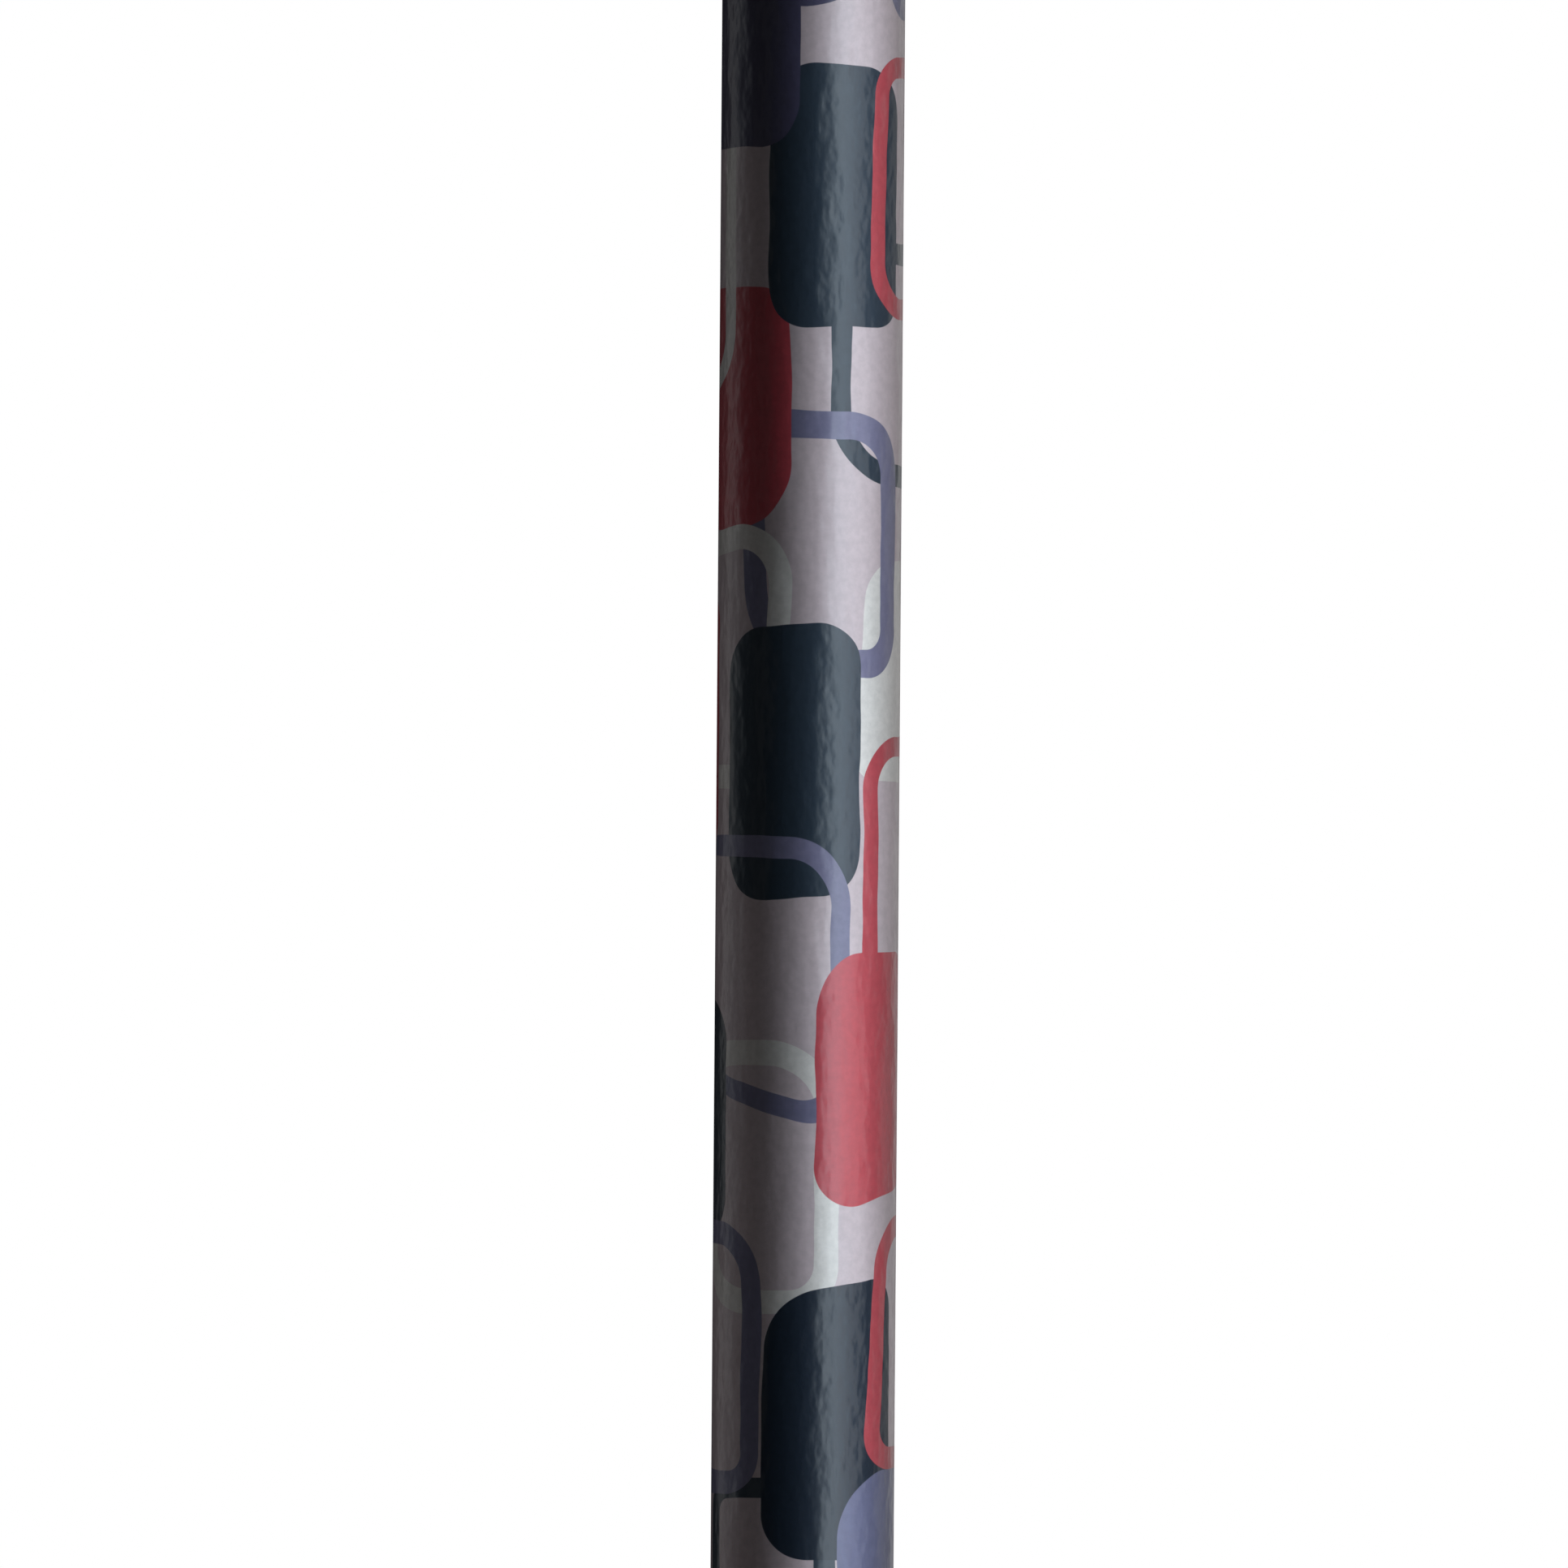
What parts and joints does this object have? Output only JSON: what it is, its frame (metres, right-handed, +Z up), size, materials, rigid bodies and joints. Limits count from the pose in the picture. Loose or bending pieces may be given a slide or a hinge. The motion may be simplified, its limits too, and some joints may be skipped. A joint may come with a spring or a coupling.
{
  "type": "kaleidoscope",
  "caption": "Slender tube kaleidoscope in a printed wrap, with a mirror prism inside, a turning cell of loose glass pieces and a soft-ringed eyepiece.",
  "frame": {"origin": "centre of the end bezel's resting face, at the bottom of the object end", "axes": "+Z up along the barrel's centre line towards the eyepiece; the printed wrap's lap seam is at +Y and its shown side faces -Y"},
  "size_m": [0.0364, 0.0364, 0.3108],
  "materials": {
    "grey_card": "spiral-wound grey card",
    "printed_film": "printed paper under a satin film",
    "satin_aluminium": "turned, satin",
    "collar_aluminium": "turned, satin",
    "black_felt": "pressed felt",
    "spring_steel": "oiled",
    "clear_window": "clear, polished",
    "front_mirror": "front-silvered",
    "black_tape": "cloth tape",
    "foam": "closed-cell foam",
    "black_card": "matt black card",
    "black_plastic": "satin moulded",
    "soft_rubber": "soft, matt",
    "clear_acrylic": "clear acrylic",
    "frosted_acrylic": "frosted acrylic",
    "red_glass": "broken coloured glass",
    "blue_glass": "broken coloured glass",
    "green_glass": "broken coloured glass",
    "amber_bead": "clear round bead",
    "violet_bead": "clear round bead",
    "turquoise_bead": "cut glass tube",
    "silver_sequin": "bright foil"
  },
  "bodies": {
    "barrel": {"cardboard_tube": "grey_card", "printed_wrap": "printed_film", "barrel_journal": "satin_aluminium", "felt_washer": "black_felt", "retaining_ring": "spring_steel", "barrel_window": "clear_window", "mirror_a": "front_mirror", "mirror_b": "front_mirror", "mirror_c": "front_mirror", "mirror_tape_bands": "black_tape", "lower_mirror_frame": "foam", "upper_mirror_frame": "foam", "peephole_baffle": "black_card", "eyepiece_cap": "black_plastic", "eye_window": "clear_window", "window_retainer": "black_plastic", "eye_cushion": "soft_rubber"},
    "object_cell": {"turning_collar": "collar_aluminium", "rubber_grip": "soft_rubber", "cell_window": "clear_window", "cell_wall": "clear_acrylic", "diffuser": "frosted_acrylic", "end_bezel": "collar_aluminium"},
    "bead_charge": {"glass_chips_red": "red_glass", "glass_chips_blue": "blue_glass", "glass_chips_green": "green_glass", "round_beads_amber": "amber_bead", "round_beads_violet": "violet_bead", "bugle_beads_turquoise": "turquoise_bead", "star_sequins_silver": "silver_sequin"}
  },
  "joints": [
    {"name": "cell_turn", "type": "hinge", "parent": "barrel", "child": "object_cell", "pos_m": [0, 0, 0.023], "axis": [0, 0, 1], "continuous": true},
    {"name": "bead_tumble", "type": "hinge", "parent": "object_cell", "child": "bead_charge", "pos_m": [0, 0, 0.0095], "axis": [0, 0, 1], "continuous": true}
  ]
}
